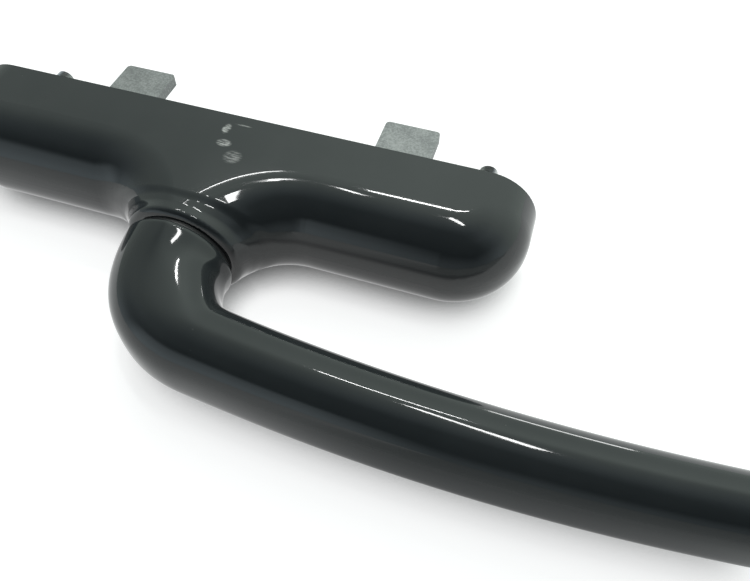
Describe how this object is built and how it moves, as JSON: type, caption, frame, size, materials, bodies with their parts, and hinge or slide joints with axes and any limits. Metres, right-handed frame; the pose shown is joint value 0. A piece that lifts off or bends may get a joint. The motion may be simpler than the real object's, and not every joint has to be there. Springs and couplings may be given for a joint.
{
  "type": "window handle",
  "caption": "Window handle with a slim rounded body and a curved lever that turns a hidden pinion and slides flat drive tongues along its back.",
  "frame": {"origin": "centre of the mounting face, on the spindle axis", "axes": "+Y points out of the mounting face into the sash, +X runs along the body towards the free end of the lever at rest, +Z runs across the body"},
  "size_m": [0.2201, 0.0971, 0.028],
  "materials": {
    "anthracite_paint": "smooth gloss stove enamel over a casting",
    "raw_zinc": "raw zinc casting, matt and finely grained",
    "plated_steel": "dull zinc plating",
    "bright_steel": "bright drawn steel",
    "black_nylon": "matt moulded nylon"
  },
  "bodies": {
    "base": {"body_housing": "anthracite_paint", "back_plate": "plated_steel", "back_plate_screws": "plated_steel", "fixing_studs": "plated_steel", "bearing_bush": "black_nylon", "detent_balls": "bright_steel", "detent_springs": "bright_steel"},
    "lever_set": {"lever": "anthracite_paint", "spindle": "bright_steel", "drive_pinion": "raw_zinc", "retaining_ring": "bright_steel"},
    "right_slide": {"right_rack_slider": "raw_zinc"},
    "left_slide": {"left_rack_slider": "raw_zinc"}
  },
  "joints": [
    {"name": "lever_turn", "type": "hinge", "parent": "base", "child": "lever_set", "pos_m": [0, 0, 0], "axis": [0, -1, 0], "range_deg": [0, 180]},
    {"name": "right_tongue_travel", "type": "slide", "parent": "base", "child": "right_slide", "axis": [-1, 0, 0], "range_m": [0, 0.022]},
    {"name": "left_tongue_travel", "type": "slide", "parent": "base", "child": "left_slide", "axis": [1, 0, 0], "range_m": [0, 0.022]}
  ],
  "couplings": [
    {"joint": "right_tongue_travel", "follows": "lever_turn", "m_per_rad": 0.007},
    {"joint": "left_tongue_travel", "follows": "lever_turn", "m_per_rad": 0.007}
  ]
}
